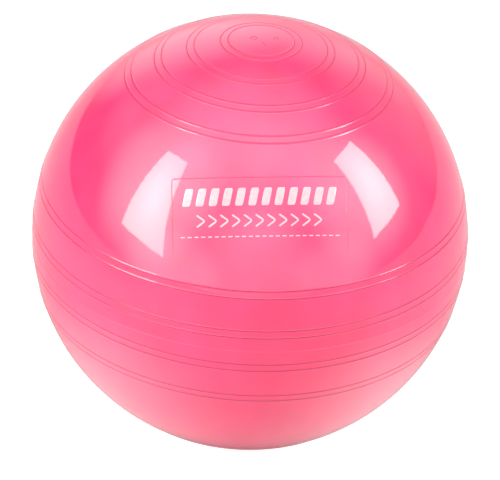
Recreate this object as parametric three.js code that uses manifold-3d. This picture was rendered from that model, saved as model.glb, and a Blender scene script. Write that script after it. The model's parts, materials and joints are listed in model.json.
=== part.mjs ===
// An inflated exercise ball: one soft vinyl skin with moulded grip ribs, a valve seat bonded inside
// the skin, and the plug that is pushed into the seat.
//
// Millimetres, +Z up along the axis of the ribs. The origin is the middle of the small flat that the
// ball's own weight presses into the skin, where it stands on the floor. -Y is the printed front,
// and the valve is at the back, on the +Y side.

import * as THREE from "three";
import { mergeVertices } from "three/addons/utils/BufferGeometryUtils.js";
import Module from "manifold-3d";

// ---- Driving dimensions: the skin ----

const BALL_DIAMETER = 500; // inflated, over the plain skin
const SKIN_WALL = 1.0;
const REST_FLAT_RADIUS = 25; // where the skin lies flat on the floor

const RIB_HEIGHT = 0.4; // above the plain skin
const RIB_WIDTH = 3.2; // at its foot
const RIB_SPACING = 8.6; // between the two ribs of a pair

const CAP_PAIRS = 4; // pairs of ribs round each pole
const CAP_FIRST_PAIR = 41.5; // along the skin, from the pole to the middle of the first pair
const CAP_PAIR_PITCH = 38.1;

const BELT_PAIRS = 2; // pairs of ribs on each side of the parting line
const BELT_FIRST_PAIR = 21.3; // along the skin, from the parting line to the first pair's middle
const BELT_PAIR_PITCH = 45.9;

const PARTING_LINE_HEIGHT = 0.2; // the line that the two halves of the mould leave
const PARTING_LINE_WIDTH = 1.2;

// ---- Driving dimensions: the valve ----

const VALVE_LATITUDE = 34; // degrees above the parting line
const PAD_MARGIN = 12.5; // the thick pad of skin round the recess, at its inner face
const PAD_TAPER = 5; // how much wider the pad is where it meets the skin
const PAD_FLOOR = 3.0; // the pad's thickness under the recess

const HEAD_OVERHANG = 1.2; // how far the plug's head reaches past the hole in the skin
const HEAD_THICKNESS = 2.4;
const HEAD_SINK = 1.0; // the head's top lies this far under the ball's surface
const HEAD_RIM = 3.5; // round the shallow dish in the head's top
const HEAD_DISH_DEPTH = 0.7;
const FINGER_GAP = 2.0; // round the head, to lift it by its rim

const STEM_LENGTH = 26;
const STEM_RADIUS = 5.0; // next to the head
const STEM_TAPER = 0.8; // how much thinner the stem is at its tip
const BARB_COUNT = 3; // sealing rings on the stem
const BARB_HEIGHT = 0.5;
const BARB_LENGTH = 3.6;
const CORE_RADIUS = 2.0; // the hollow in the stem, open at its tip
const CORE_END = 6.0; // solid stem left between the core and the head

const SEAT_WALL = 2.7; // round the bore
const SEAT_FLANGE_THICKNESS = 2.4;
const SEAT_FLANGE_INSET = 4.0; // from the edge of the pad's inner face
const SEAT_TAIL = 11.0; // how far the bore runs on past the flange

const PLUG_CLEARANCE = 0.3; // between the plug and its seat
const BOND_GAP = 0.3; // between the seat and the skin

// ---- Facets ----

const BALL_SIDES = 40;
const VALVE_SIDES = 40;
const LONGEST_STEP = 27; // along the skin's outline, where it has no ribs
const INNER_STEPS = 32; // from pole to pole on the inside of the skin
const CUT_OVERRUN = 1; // how far a cut runs on past the faces that it opens
const MERGE_DISTANCE = 1e-4; // points closer than this are one point

// ---- Sizes that follow from those ----

const ballRadius = BALL_DIAMETER / 2;
const centreHeight = Math.sqrt(ballRadius ** 2 - REST_FLAT_RADIUS ** 2);
const poleToPole = Math.PI * ballRadius; // along the skin
const valveTilt = THREE.MathUtils.degToRad(VALVE_LATITUDE);

// Depths are measured inwards from the ball's surface, along the valve's axis.
const headTopDepth = HEAD_SINK;
const headUnderDepth = headTopDepth + HEAD_THICKNESS;
const recessDepth = headUnderDepth + PLUG_CLEARANCE;
const boreRadius = STEM_RADIUS + BARB_HEIGHT + PLUG_CLEARANCE;
const neckRadius = boreRadius + SEAT_WALL;
const holeRadius = neckRadius + BOND_GAP;
const headRadius = holeRadius + HEAD_OVERHANG;
const recessRadius = headRadius + FINGER_GAP;
const padRadius = recessRadius + PAD_MARGIN;
const padDepth = recessDepth + PAD_FLOOR;
const flangeRadius = padRadius - SEAT_FLANGE_INSET;
const flangeTopDepth = padDepth + BOND_GAP;
const flangeUnderDepth = flangeTopDepth + SEAT_FLANGE_THICKNESS;
const seatEndDepth = flangeUnderDepth + SEAT_TAIL;
const plugTipDepth = headUnderDepth + STEM_LENGTH;
const stemSlope = STEM_TAPER / STEM_LENGTH; // radius lost for each millimetre of depth

const materials = {
  skin: new THREE.MeshStandardMaterial({ color: 0xfb6f97, roughness: 0.22, metalness: 0 }),
  seat: new THREE.MeshStandardMaterial({ color: 0xe9839f, roughness: 0.5, metalness: 0 }),
  plug: new THREE.MeshStandardMaterial({ color: 0xf4f3ef, roughness: 0.38, metalness: 0 }),
};

const wasm = await Module();
wasm.setup();

/** A closed geometry as a solid for joining and cutting. */
function solidOf(geometry) {
  const bare = geometry.clone();
  bare.deleteAttribute("normal");
  bare.deleteAttribute("uv");
  const merged = mergeVertices(bare, MERGE_DISTANCE);
  return new wasm.Manifold(
    new wasm.Mesh({
      numProp: 3,
      vertProperties: merged.attributes.position.array,
      triVerts: new Uint32Array(merged.index.array),
    }),
  );
}

/** A solid's surface as a geometry. */
function geometryOf(solid) {
  const mesh = solid.getMesh();
  const geometry = new THREE.BufferGeometry();
  geometry.setAttribute("position", new THREE.BufferAttribute(mesh.vertProperties, 3));
  geometry.setIndex(new THREE.BufferAttribute(mesh.triVerts, 1));
  geometry.computeVertexNormals();
  return geometry;
}

/** A body of revolution round +Y from [radius, height] points that run from its bottom to its top. */
function turned(points, sides) {
  return new THREE.LatheGeometry(
    points.map(([radius, height]) => new THREE.Vector2(radius, height)),
    sides,
  );
}

/** From a geometry round +Y with its origin in the ball's middle, to the part's own frame. */
function standUpright(geometry) {
  return geometry.rotateX(Math.PI / 2).translate(0, 0, centreHeight);
}

/** As standUpright, for the pieces round the valve's axis. */
function leanToValve(geometry) {
  return geometry.rotateX(valveTilt).translate(0, 0, centreHeight);
}

/** The height of a depth under the ball's surface, along an axis from the ball's middle. */
function at(depth) {
  return ballRadius - depth;
}

/** Where the ridges' middles are: [distance along the skin from the bottom pole, height, width]. */
function ridges() {
  const pairs = [];
  for (let i = 0; i < CAP_PAIRS; i++) {
    const middle = CAP_FIRST_PAIR + i * CAP_PAIR_PITCH;
    pairs.push(middle, poleToPole - middle);
  }
  for (let i = 0; i < BELT_PAIRS; i++) {
    const middle = BELT_FIRST_PAIR + i * BELT_PAIR_PITCH;
    pairs.push(poleToPole / 2 - middle, poleToPole / 2 + middle);
  }
  const ribs = pairs.flatMap((middle) => [
    [middle - RIB_SPACING / 2, RIB_HEIGHT, RIB_WIDTH],
    [middle + RIB_SPACING / 2, RIB_HEIGHT, RIB_WIDTH],
  ]);
  const partingLine = [poleToPole / 2, PARTING_LINE_HEIGHT, PARTING_LINE_WIDTH];
  return [...ribs, partingLine].sort((a, b) => a[0] - b[0]);
}

/** A point of an outline round the ball's middle, kept on or above the flat at its foot. */
function outlinePoint(arc, lift, footHeight) {
  const angle = arc / ballRadius;
  const radius = ballRadius + lift;
  return [radius * Math.sin(angle), Math.max(-radius * Math.cos(angle), footHeight)];
}

/** The outside of the skin, from the flat at its foot up to the top pole, with every ridge. */
function outerOutline() {
  const footHeight = -centreHeight;
  const points = [[0, footHeight]];
  const flatArc = ballRadius * Math.asin(REST_FLAT_RADIUS / ballRadius);
  let reached = flatArc;
  points.push([REST_FLAT_RADIUS, footHeight]);
  const plainTo = (arc) => {
    const steps = Math.ceil((arc - reached) / LONGEST_STEP);
    for (let i = 1; i < steps; i++) {
      const between = reached + ((arc - reached) * i) / steps;
      points.push(outlinePoint(between, 0, footHeight));
    }
    reached = arc;
  };
  for (const [middle, lift, width] of ridges()) {
    if (middle - width / 2 <= reached) continue; // pressed flat against the floor
    plainTo(middle - width / 2);
    points.push(outlinePoint(middle - width / 2, 0, footHeight));
    points.push(outlinePoint(middle, lift, footHeight));
    points.push(outlinePoint(middle + width / 2, 0, footHeight));
    reached = middle + width / 2;
  }
  plainTo(poleToPole);
  points.push([0, ballRadius]);
  return points;
}

/** The inside of the skin: a plain ball, one wall smaller and one wall above the floor. */
function innerOutline() {
  const radius = ballRadius - SKIN_WALL;
  const footHeight = -centreHeight + SKIN_WALL;
  const flatRadius = Math.sqrt(radius ** 2 - footHeight ** 2);
  const flatAngle = Math.asin(flatRadius / radius);
  const points = [[0, footHeight]];
  for (let i = 0; i < INNER_STEPS; i++) {
    const angle = flatAngle + ((Math.PI - flatAngle) * i) / INNER_STEPS;
    points.push([radius * Math.sin(angle), -radius * Math.cos(angle)]);
  }
  points.push([0, radius]);
  return points;
}

/** A round solid on the valve's axis between two depths, with a radius at each. */
function roundSolid(outerRadius, outerDepth, innerRadius, innerDepth) {
  const outline = [
    [0, at(innerDepth)],
    [innerRadius, at(innerDepth)],
    [outerRadius, at(outerDepth)],
    [0, at(outerDepth)],
  ];
  return solidOf(leanToValve(turned(outline, VALVE_SIDES)));
}

/** The skin: ribbed outside, hollow inside, with a pad, a recess and a hole for the valve. */
function ballSkin() {
  const outside = solidOf(standUpright(turned(outerOutline(), BALL_SIDES)));
  const inside = solidOf(standUpright(turned(innerOutline(), BALL_SIDES)));
  const outsideDepth = -RIB_HEIGHT - CUT_OVERRUN;
  const holeTop = recessDepth - CUT_OVERRUN;
  const holeEnd = padDepth + CUT_OVERRUN;
  const pad = roundSolid(padRadius + PAD_TAPER, outsideDepth, padRadius, padDepth);
  const recess = roundSolid(recessRadius, outsideDepth, recessRadius, recessDepth);
  const hole = roundSolid(holeRadius, holeTop, holeRadius, holeEnd);
  const hollow = inside.subtract(pad);
  const skin = outside.subtract(hollow).subtract(recess).subtract(hole);
  const mesh = new THREE.Mesh(geometryOf(skin), materials.skin);
  mesh.name = "ball_skin";
  return mesh;
}

/** The radius of the seat's bore at a depth: it narrows with the plug's stem. */
function boreAt(depth) {
  return boreRadius - stemSlope * (depth - headUnderDepth);
}

/** The seat: a neck in the skin's hole, a flange against the pad, and a tail round the stem. */
function valveSeat() {
  const outline = [
    [boreAt(seatEndDepth), at(seatEndDepth)],
    [boreAt(seatEndDepth) + SEAT_WALL, at(seatEndDepth)],
    [neckRadius, at(flangeUnderDepth)],
    [flangeRadius, at(flangeUnderDepth)],
    [flangeRadius, at(flangeTopDepth)],
    [neckRadius, at(flangeTopDepth)],
    [neckRadius, at(recessDepth)],
    [boreAt(recessDepth), at(recessDepth)],
  ];
  outline.push(outline[0]);
  const mesh = new THREE.Mesh(turned(outline, VALVE_SIDES), materials.seat);
  mesh.name = "valve_seat";
  return mesh;
}

/** The radius of the plug's stem between its sealing rings, at a depth. */
function stemAt(depth) {
  return STEM_RADIUS - stemSlope * (depth - headUnderDepth);
}

/** The plug: a dished head on a hollow, tapered stem with sealing rings. */
function valvePlug() {
  const coreTopDepth = headUnderDepth + CORE_END;
  const barbPitch = STEM_LENGTH / BARB_COUNT;
  const outline = [
    [0, at(coreTopDepth)],
    [CORE_RADIUS, at(coreTopDepth)],
    [CORE_RADIUS, at(plugTipDepth)],
    [stemAt(plugTipDepth), at(plugTipDepth)],
  ];
  for (let i = BARB_COUNT - 1; i >= 0; i--) {
    const shoulder = headUnderDepth + (i + 0.5) * barbPitch;
    const foot = shoulder + BARB_LENGTH;
    outline.push([stemAt(foot), at(foot)]);
    outline.push([stemAt(shoulder) + BARB_HEIGHT, at(shoulder)]);
    outline.push([stemAt(shoulder), at(shoulder)]);
  }
  outline.push([STEM_RADIUS, at(headUnderDepth)]);
  outline.push([headRadius, at(headUnderDepth)]);
  outline.push([headRadius, at(headTopDepth)]);
  outline.push([headRadius - HEAD_RIM, at(headTopDepth)]);
  outline.push([0, at(headTopDepth + HEAD_DISH_DEPTH)]);
  const mesh = new THREE.Mesh(turned(outline, VALVE_SIDES), materials.plug);
  mesh.name = "valve_plug";
  return mesh;
}

const valve = new THREE.Group();
valve.position.z = centreHeight;
valve.rotation.x = valveTilt;
valve.add(valveSeat(), valvePlug());

const exerciseBall = new THREE.Group();
exerciseBall.add(ballSkin(), valve);

export default exerciseBall;
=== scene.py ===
"""An inflated exercise ball: a glossy, ribbed vinyl skin, a bonded valve seat and a push-in plug.

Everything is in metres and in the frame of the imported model: +Z runs up the axis of the ribs, the origin is
the middle of the flat that the ball stands on, -Y is the printed front and the valve is at the back.
A place on the ball is given by its latitude above the parting line and its longitude from the front,
both in degrees, and by how far it stands above the plain skin.
"""

import json
import logging
import math
from dataclasses import dataclass, field
from enum import Enum

import bpy
import numpy as np
from mathutils import Matrix, Vector


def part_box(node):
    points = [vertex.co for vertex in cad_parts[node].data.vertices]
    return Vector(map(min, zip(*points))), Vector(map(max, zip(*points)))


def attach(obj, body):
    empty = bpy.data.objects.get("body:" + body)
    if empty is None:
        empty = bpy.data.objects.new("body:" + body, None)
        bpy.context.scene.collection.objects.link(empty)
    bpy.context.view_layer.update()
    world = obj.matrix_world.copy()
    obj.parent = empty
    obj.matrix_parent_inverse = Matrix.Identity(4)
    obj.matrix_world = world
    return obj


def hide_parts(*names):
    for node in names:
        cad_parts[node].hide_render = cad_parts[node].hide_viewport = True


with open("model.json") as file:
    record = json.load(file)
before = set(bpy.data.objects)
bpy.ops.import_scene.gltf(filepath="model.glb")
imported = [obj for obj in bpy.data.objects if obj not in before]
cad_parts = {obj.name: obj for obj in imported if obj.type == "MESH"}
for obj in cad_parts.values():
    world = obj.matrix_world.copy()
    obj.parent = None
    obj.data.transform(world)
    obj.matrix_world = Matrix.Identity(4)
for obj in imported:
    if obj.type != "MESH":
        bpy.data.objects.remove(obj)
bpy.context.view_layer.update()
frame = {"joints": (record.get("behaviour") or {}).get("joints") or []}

LOG = logging.getLogger("exercise_ball")
MILLIMETRE = 0.001
# The mesh attribute that holds the share of painted shade at each point: a dark line along the rib crests and
# moulded lines.
PAINTED_SHADE_ATTRIBUTE = "painted_shade_amount"
USUAL_NOISE = (0.35, 0.65)
WHITE = (1.0, 1.0, 1.0, 1.0)
# A Mix node's sockets go by number, because its kinds of value share their names.
MIX_SHARE = 0
FIRST_NUMBER, SECOND_NUMBER, MIXED_NUMBER = 2, 3, 0
FIRST_COLOUR, SECOND_COLOUR, MIXED_COLOUR = 6, 7, 2
Array = np.ndarray
Colour = tuple[float, float, float]


# ---------------------------------------------------------------------------------------------------------
# Surfaces
# ---------------------------------------------------------------------------------------------------------


def grid_quads(rows: int, columns: int, closed: bool) -> Array:
    """Join a grid of points, stored row after row, into quads.

    Each point is joined to the next along its row and to the one above it in the next row.

    Args:
        rows: number of rows of points.
        columns: number of points in a row.
        closed: whether the last point of a row joins its first.

    Returns:
        One row of four point numbers for each quad, anticlockwise where rows run up and columns run right.
    """
    across = np.arange(columns if closed else columns - 1)
    beside = (across + 1) % columns
    start = columns * np.arange(rows - 1)[:, None]
    corners = (start + across, start + beside, start + columns + beside, start + columns + across)
    return np.stack(corners, axis=-1).reshape(-1, 4)


@dataclass
class Surface:
    """A surface put together from grids of points, before it becomes a mesh."""

    points: list[Array] = field(default_factory=list)
    quads: list[Array] = field(default_factory=list)
    depths: list[Array] = field(default_factory=list)
    count: int = 0

    def add(self, points: Array, quads: Array, depth: Array | float = 0.0) -> None:
        """Add points and the quads that join them.

        Args:
            points: the points, in an array that ends in x, y, z.
            quads: the quads, as rows of four point numbers.
            depth: the share of painted shade at each point, from 0 to 1.
        """
        flat = points.reshape(-1, 3)
        self.points.append(flat)
        self.quads.append(quads + self.count)
        self.depths.append(np.broadcast_to(depth, points.shape[:-1]).reshape(-1))
        self.count += len(flat)

    def add_grid(self, points: Array, closed: bool, depth: Array | float = 0.0) -> None:
        """Add a grid of points of shape (rows, columns, 3), joined all over, with the share of painted shade.
        """
        self.add(points, grid_quads(points.shape[0], points.shape[1], closed), depth)

    def welded(self, distance: float = 1e-6) -> tuple[Array, Array, Array]:
        """Merge the points that share a place.

        Each coordinate is rounded to a whole number of steps of the given distance, and the points whose
        rounded coordinates are alike become one.

        Args:
            distance: the rounding step, in metres.

        Returns:
            The points, the quads with their new point numbers, and the share of painted shade at each point.
        """
        points = np.concatenate(self.points)
        quads = np.concatenate(self.quads)
        keys = np.round(points / distance).astype(np.int64)
        _, first, number = np.unique(keys, axis=0, return_index=True, return_inverse=True)
        return points[first], number.reshape(-1)[quads], np.concatenate(self.depths)[first]

    def to_object(
        self, name: str, material: bpy.types.Material, sharp_degrees: float = 40.0
    ) -> bpy.types.Object:
        """Make the surface a smooth-shaded object that faces outwards.

        A quad two of whose neighbouring corners merged becomes a triangle. Six times the volume is the sum
        over the faces of each face's first corner dotted with the cross product of its next two, and where
        that is negative all the faces are turned round.

        Args:
            name: the object's name.
            material: what it is made of.
            sharp_degrees: an edge whose faces meet at more than this is shaded as an edge.

        Returns:
            The object, linked to the scene at the origin.
        """
        points, quads, depths = self.welded()
        faces = [quads]
        for corner in range(4):
            merged = faces[0][:, corner] == faces[0][:, (corner + 1) % 4]
            faces.append(np.delete(faces[0][merged], corner, axis=1))
            faces[0] = faces[0][~merged]
        triangles = [faces[0][:, [0, 1, 2]], faces[0][:, [0, 2, 3]], *faces[1:]]
        a, b, c = (points[np.concatenate(triangles)[:, corner]] for corner in range(3))
        if np.sum(a * np.cross(b, c)) < 0:
            faces = [part[:, ::-1] for part in faces]
        sizes = np.concatenate([np.full(len(part), part.shape[1]) for part in faces])
        loops = np.concatenate([part.ravel() for part in faces])
        mesh = bpy.data.meshes.new(name)
        mesh.vertices.add(len(points))
        mesh.vertices.foreach_set("co", points.astype(np.float32).ravel())
        mesh.loops.add(len(loops))
        mesh.loops.foreach_set("vertex_index", loops.astype(np.int32))
        mesh.polygons.add(len(sizes))
        mesh.polygons.foreach_set("loop_start", (np.cumsum(sizes) - sizes).astype(np.int32))
        mesh.update(calc_edges=True)
        mesh.polygons.foreach_set("use_smooth", np.ones(len(sizes), dtype=bool))
        mesh.set_sharp_from_angle(angle=math.radians(sharp_degrees))
        # Each point keeps its share of painted shade, which the vinyl draws as a darker colour.
        painted_shade = mesh.attributes.new(PAINTED_SHADE_ATTRIBUTE, "FLOAT", "POINT")
        painted_shade.data.foreach_set("value", depths.astype(np.float32))
        mesh.validate()
        mesh.materials.append(material)
        piece = bpy.data.objects.new(name, mesh)
        bpy.context.scene.collection.objects.link(piece)
        return piece


def rounded(corners: list[tuple[float, float, float]], steps: int = 4, closed: bool = False) -> Array:
    """Round the corners of a profile.

    A corner C with a rounding f becomes the curve (1-t)^2 A + 2t(1-t) C + t^2 B for t from 0 to 1, where A
    and B lie on the two edges at f from C, but always a little short of an edge's middle.

    Args:
        corners: (radius, depth, rounding) of each corner in turn.
        steps: how many steps a rounded corner is drawn with.
        closed: whether the last corner joins the first.

    Returns:
        The profile's points as (radius, depth) rows; a closed one ends where it began.
    """
    longest = 0.49
    places = np.array([corner[:2] for corner in corners])
    t = np.linspace(0.0, 1.0, steps + 1)[:, None]
    outline = []
    for number, (_, _, rounding) in enumerate(corners):
        here = places[number]
        at_end = not closed and number in (0, len(corners) - 1)
        if rounding == 0 or at_end:
            outline.append(here[None, :])
            continue
        back = places[number - 1] - here
        ahead = places[(number + 1) % len(corners)] - here
        start = here + back * min(rounding / np.linalg.norm(back), longest)
        end = here + ahead * min(rounding / np.linalg.norm(ahead), longest)
        outline.append((1 - t) ** 2 * start + 2 * t * (1 - t) * here + t**2 * end)
    if closed:
        outline.append(outline[0][:1])
    return np.concatenate(outline)


def arc_lengths(path: Array) -> Array:
    """How far along a path each of its points is: the running sum of the steps between them."""
    steps = np.linalg.norm(np.diff(path, axis=0), axis=1)
    return np.concatenate([[0.0], np.cumsum(steps)])


def resampled(path: Array, count: int) -> Array:
    """Space a path's points equally, each new point straight between its two old neighbours.

    Args:
        path: points of shape (points, 2).
        count: how many points the new path has.

    Returns:
        The new path, of shape (count, 2).
    """
    reached = arc_lengths(path)
    wanted = np.linspace(0.0, reached[-1], count)
    return np.stack([np.interp(wanted, reached, path[:, axis]) for axis in range(2)], axis=1)


def along_and_across(path: Array) -> tuple[Array, Array]:
    """Find the directions of a path: the scaled step (x, y) at each point, and (-y, x) across it.

    Args:
        path: points of shape (points, 2).

    Returns:
        The unit vectors along the path and across it to its left, one of each for every point.
    """
    along = np.gradient(path, axis=0)
    along /= np.linalg.norm(along, axis=1, keepdims=True)
    return along, np.stack([-along[:, 1], along[:, 0]], axis=1)


# ---------------------------------------------------------------------------------------------------------
# The ball's own geometry
# ---------------------------------------------------------------------------------------------------------


def direction(latitude: Array | float, longitude: Array | float) -> Array:
    """The unit vector at a latitude a and longitude o in degrees: (cos a sin o, -cos a cos o, sin a)."""
    lat, lon = np.broadcast_arrays(np.radians(latitude), np.radians(longitude))
    return np.stack([np.cos(lat) * np.sin(lon), -np.cos(lat) * np.cos(lon), np.sin(lat)], axis=-1)


@dataclass(frozen=True)
class Ball:
    """The plain ball under every detail: a sphere that is flat where it stands."""

    radius: float
    centre_height: float

    @classmethod
    def from_frame(cls, foot_radius: float = 25 * MILLIMETRE) -> "Ball":
        """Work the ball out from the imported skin's height.

        The height is the radius plus the centre's height, and the centre's height squared is the radius
        squared less the foot's radius squared, so the radius is (height^2 + foot^2) / (2 height).

        Args:
            foot_radius: the radius of the flat that the ball stands on.

        Returns:
            The ball.
        """
        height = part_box("ball_skin")[1][2]
        radius = (height**2 + foot_radius**2) / (2 * height)
        return cls(radius, height - radius)

    @property
    def centre(self) -> Array:
        """The ball's middle."""
        return np.array([0.0, 0.0, self.centre_height])

    def place(self, towards: Array, lift: Array | float = 0.0) -> Array:
        """Points on the ball, or lifted off it, and never under the floor.

        A point is the middle plus (radius + lift) times its unit vector, with its height kept above zero.

        Args:
            towards: unit vectors from the ball's middle.
            lift: height above the plain skin, one for each vector or one for all.

        Returns:
            The points, in an array of the same shape as the vectors.
        """
        points = self.centre + (self.radius + np.asarray(lift)[..., None]) * towards
        points[..., 2] = np.maximum(points[..., 2], max(0.0, -float(np.max(lift))))
        return points


@dataclass(frozen=True)
class Axis:
    """A straight axis out of the ball's middle, with the depths under the ball's surface along it."""

    ball: Ball
    along: Array

    @property
    def sideways(self) -> Array:
        """A level unit vector across the axis."""
        side = np.cross([0.0, 0.0, 1.0], self.along)
        return side / np.linalg.norm(side)

    @property
    def upwards(self) -> Array:
        """The unit vector across the axis and the sideways one."""
        return np.cross(self.along, self.sideways)

    def spun(self, profile: Array, angles: Array) -> Array:
        """Carry a profile round the axis.

        A point of radius r and depth d at the angle a is the middle plus (ball radius - d) times the axis,
        plus r times (sideways cos a + upwards sin a).

        Args:
            profile: (radius, depth) rows.
            angles: the angles in radians that the profile is set at.

        Returns:
            An array of shape (profile points, angles, 3).
        """
        spokes = np.cos(angles)[:, None] * self.sideways + np.sin(angles)[:, None] * self.upwards
        heights = (self.ball.radius - profile[:, 1])[:, None, None] * self.along
        return self.ball.centre + heights + profile[:, 0][:, None, None] * spokes[None]

    def ring(self, arc: Array, angles: Array) -> Array:
        """Unit vectors round the axis: cos(arc / R) axis + sin(arc / R) spoke, for the ball's radius R.

        Args:
            arc: how far each point is from the axis, over the ball.
            angles: the angle in radians of each point's spoke, in an array of the same shape.

        Returns:
            The unit vectors, in an array of the arcs' shape with x, y, z added.
        """
        turn = (arc / self.ball.radius)[..., None]
        spokes = np.cos(angles)[..., None] * self.sideways + np.sin(angles)[..., None] * self.upwards
        return np.cos(turn) * self.along + np.sin(turn) * spokes

    def angles_of(self, towards: Array) -> Array:
        """The angles in radians of unit vectors round the axis, with no jump between neighbours."""
        return np.unwrap(np.arctan2(towards @ self.upwards, towards @ self.sideways))

    def depth_at(self, radius: float, under: float = 0.0) -> float:
        """The depth of the ball's surface, or of the ball `under` it, at a radius from the axis."""
        return self.ball.radius - math.sqrt((self.ball.radius - under) ** 2 - radius**2)


def turned(axis: Axis, profile: Array, segments: int) -> Surface:
    """Turn a profile into a body of revolution, as Axis.spun carries it round.

    Args:
        axis: the axis that it is turned about.
        profile: (radius, depth) rows that end on the axis or where they began.
        segments: how many steps there are in a whole turn.

    Returns:
        The body's closed surface.
    """
    surface = Surface()
    angles = np.linspace(0.0, 2 * np.pi, segments, endpoint=False)
    surface.add_grid(axis.spun(profile, angles), closed=True)
    return surface


# ---------------------------------------------------------------------------------------------------------
# Materials
# ---------------------------------------------------------------------------------------------------------


@dataclass
class Nodes:
    """Adds and joins the nodes of one material or world."""

    tree: bpy.types.NodeTree

    def add(
        self, kind: str, inputs: dict[str | int, object] | None = None, **settings: object
    ) -> bpy.types.Node:
        """Add a node.

        Args:
            kind: the node's type.
            inputs: the values of its unlinked sockets, by name or number.
            **settings: its own properties.

        Returns:
            The node.
        """
        node = self.tree.nodes.new(kind)
        for name, value in settings.items():
            setattr(node, name, value)
        for socket, value in (inputs or {}).items():
            node.inputs[socket].default_value = value
        return node

    def mix(self, share: bpy.types.Node, output: str, first: Colour, second: Colour) -> bpy.types.Node:
        """Mix two colours by a node's output.

        Args:
            share: the node.
            output: the name of its output.
            first: the colour where the output is 0.
            second: the colour where the output is 1.

        Returns:
            The mixing node.
        """
        ends = {FIRST_COLOUR: (*first, 1.0), SECOND_COLOUR: (*second, 1.0)}
        colour = self.add("ShaderNodeMix", ends, data_type="RGBA")
        self.join(share, output, colour, MIX_SHARE)
        return colour

    def bump(self, height: bpy.types.Node, strength: float, distance: float) -> bpy.types.Node:
        """Raise a bump by a noise.

        Args:
            height: the noise.
            strength: how much of the bump is felt, from 0 to 1.
            distance: the height of a full bump, in metres.

        Returns:
            The bump node.
        """
        bump = self.add("ShaderNodeBump", {"Strength": strength, "Distance": distance})
        self.join(height, "Fac", bump, "Height")
        return bump

    def finish(self, shader: bpy.types.Node) -> None:
        """Join the shader to the material's output."""
        self.join(shader, "BSDF", self.add("ShaderNodeOutputMaterial"), "Surface")

    def join(
        self, source: bpy.types.Node, output: str | int, target: bpy.types.Node, socket: str | int
    ) -> None:
        """Join one node's output to another's input."""
        self.tree.links.new(source.outputs[output], target.inputs[socket])

    def noise(self, scale: float, detail: float, stretch: Colour = (1.0, 1.0, 1.0)) -> bpy.types.Node:
        """Lay a noise over the object's own coordinates.

        Args:
            scale: how many lumps there are in a metre.
            detail: how many finer layers of lumps are added.
            stretch: a factor for each axis, under one where the lumps are drawn out along it.

        Returns:
            The noise node.
        """
        coordinates = self.add("ShaderNodeTexCoord")
        mapping = self.add("ShaderNodeMapping", {"Scale": stretch})
        noise = self.add("ShaderNodeTexNoise", {"Scale": scale, "Detail": detail})
        self.join(coordinates, "Object", mapping, "Vector")
        self.join(mapping, "Vector", noise, "Vector")
        return noise

    def ranged(self, source: bpy.types.Node, low: float, high: float) -> bpy.types.Node:
        """Turn a noise's usual range into another one.

        Args:
            source: the noise.
            low: what the low end of the usual range becomes.
            high: what its high end becomes.

        Returns:
            The node whose result is the new value.
        """
        usual_low, usual_high = USUAL_NOISE
        limits = {"From Min": usual_low, "From Max": usual_high, "To Min": low, "To Max": high}
        ranged = self.add("ShaderNodeMapRange", limits)
        self.join(source, "Fac", ranged, "Value")
        return ranged


class Finish:
    """What the finishes share: a new material whose nodes are laid out by the finish's own `lay`."""

    name: str

    def build(self) -> bpy.types.Material:
        """Make a material of the finish's name.

        Returns:
            The material.
        """
        material = bpy.data.materials.new(self.name)
        material.use_nodes = True
        material.node_tree.nodes.clear()
        self.lay(Nodes(material.node_tree))
        return material

    def lay(self, nodes: Nodes) -> None:
        """Lay out the material's nodes."""
        raise NotImplementedError


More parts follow.
